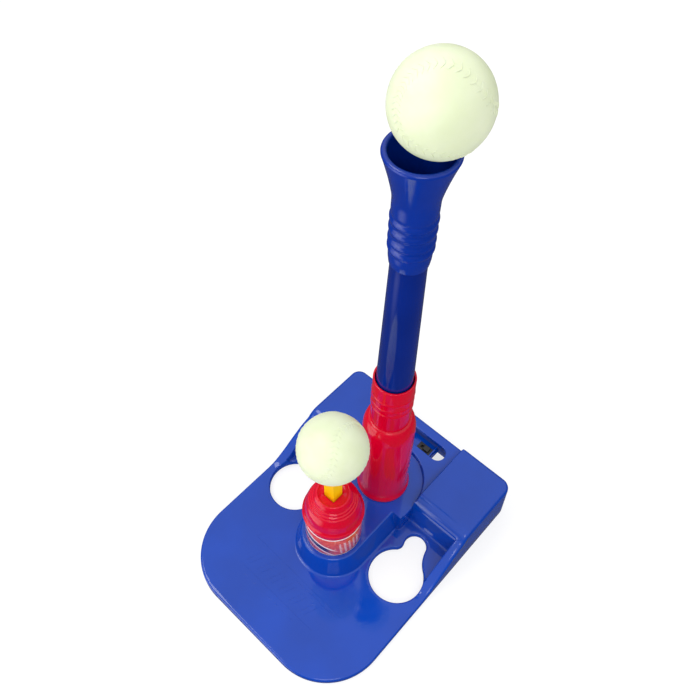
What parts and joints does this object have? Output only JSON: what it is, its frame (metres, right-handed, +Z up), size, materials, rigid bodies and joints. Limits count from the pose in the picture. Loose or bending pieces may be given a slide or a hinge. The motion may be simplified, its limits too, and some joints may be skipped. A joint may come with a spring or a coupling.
{
  "type": "batting tee",
  "caption": "Toy batting tee: moulded base with a telescoping tee and soft cup, beside a motor-driven pop-up ball launcher.",
  "frame": {"origin": "centre of the base's footprint, on the surface it stands on", "axes": "+Z up along the tee, -Y towards the rounded front edge, +X the side with the battery compartment"},
  "size_m": [0.252, 0.322, 0.6102],
  "materials": {
    "base_blue": "high-gloss injection-moulded",
    "cover_blue": "fine matt moulded",
    "tube_blue": "glossy extruded",
    "cup_blue": "soft glossy vinyl",
    "red_plastic": "glossy injection-moulded",
    "yellow_plastic": "glossy injection-moulded",
    "ball_plastic": "satin blow-moulded",
    "label_print": "printed gloss film",
    "black_plastic": "satin moulded",
    "grey_plastic": "satin moulded",
    "white_nylon": "self-lubricating nylon",
    "steel": "plated",
    "brass": "turned",
    "cell_sleeve": "plain printed sleeve",
    "wire_red": "flexible sheath",
    "black_rubber": "soft"
  },
  "bodies": {
    "base": {"base_shell": "base_blue", "bottom_cover": "cover_blue", "cover_screws": "steel", "battery_box": "black_plastic", "battery_cells": "cell_sleeve", "battery_contacts": "steel", "battery_door": "cover_blue", "battery_door_screw": "steel", "switch_bracket": "base_blue", "switch_body": "black_plastic", "launcher_barrel": "red_plastic", "barrel_label": "label_print", "launcher_cap": "red_plastic", "plunger_spring": "steel", "spring_seat": "grey_plastic", "gearbox_front_plate": "grey_plastic", "gearbox_rear_plate": "grey_plastic", "gearbox_spacers": "grey_plastic", "rack_pinion_shaft": "steel", "sector_shaft": "steel", "reduction_shaft": "steel", "drive_motor": "steel", "wiring": "wire_red", "tee_socket": "red_plastic", "socket_screws": "steel"},
    "tee": {"tee_tube": "tube_blue", "tube_grip_ring": "black_rubber", "tee_cup": "cup_blue"},
    "tee_ball": {"tee_ball": "ball_plastic"},
    "plunger": {"plunger": "yellow_plastic"},
    "pitch_ball": {"pitch_ball": "ball_plastic"},
    "rack_pinion": {"rack_pinion": "white_nylon"},
    "sector_gear": {"sector_gear": "white_nylon"},
    "reduction_gear": {"reduction_gear": "white_nylon"},
    "motor_pinion": {"motor_pinion": "brass"},
    "switch_knob": {"switch_knob": "black_plastic"}
  },
  "joints": [
    {"name": "plunger_travel", "type": "slide", "parent": "base", "child": "plunger", "axis": [0, 0, 1], "range_m": [-0.045, 0], "stiffness_N_per_m": 60, "springref_m": 0.02, "deforming": ["plunger_spring"]},
    {"name": "pitch_ball_lift", "type": "slide", "parent": "plunger", "child": "pitch_ball", "axis": [0, 0, 1], "range_m": [0, 0.08]},
    {"name": "rack_pinion_spin", "type": "hinge", "parent": "base", "child": "rack_pinion", "pos_m": [0.0127, -0.009, 0.063], "axis": [0, -1, 0], "range_deg": [0, 368.5]},
    {"name": "sector_gear_spin", "type": "hinge", "parent": "base", "child": "sector_gear", "pos_m": [0, -0.009, 0.03363], "axis": [0, -1, 0], "range_deg": [-221.2, 0]},
    {"name": "reduction_gear_spin", "type": "hinge", "parent": "base", "child": "reduction_gear", "pos_m": [-0.024, -0.009, 0.01921], "axis": [0, -1, 0], "range_deg": [0, 810.5]},
    {"name": "motor_pinion_spin", "type": "hinge", "parent": "base", "child": "motor_pinion", "pos_m": [-0.01122, -0.009, 0.01456], "axis": [0, -1, 0], "range_deg": [-1945, 0]},
    {"name": "tee_height", "type": "slide", "parent": "base", "child": "tee", "axis": [0, 0, 1], "range_m": [-0.11, 0]},
    {"name": "tee_ball_lift", "type": "slide", "parent": "tee", "child": "tee_ball", "axis": [0, 0, 1], "range_m": [0, 0.08]},
    {"name": "power_switch", "type": "slide", "parent": "base", "child": "switch_knob", "axis": [1, 0, 0], "range_m": [-0.005, 0]}
  ],
  "couplings": [
    {"joint": "rack_pinion_spin", "follows": "plunger_travel", "rad_per_m": -142.86},
    {"joint": "sector_gear_spin", "follows": "plunger_travel", "rad_per_m": 85.714},
    {"joint": "reduction_gear_spin", "follows": "plunger_travel", "rad_per_m": -314.29},
    {"joint": "motor_pinion_spin", "follows": "plunger_travel", "rad_per_m": 754.29}
  ]
}
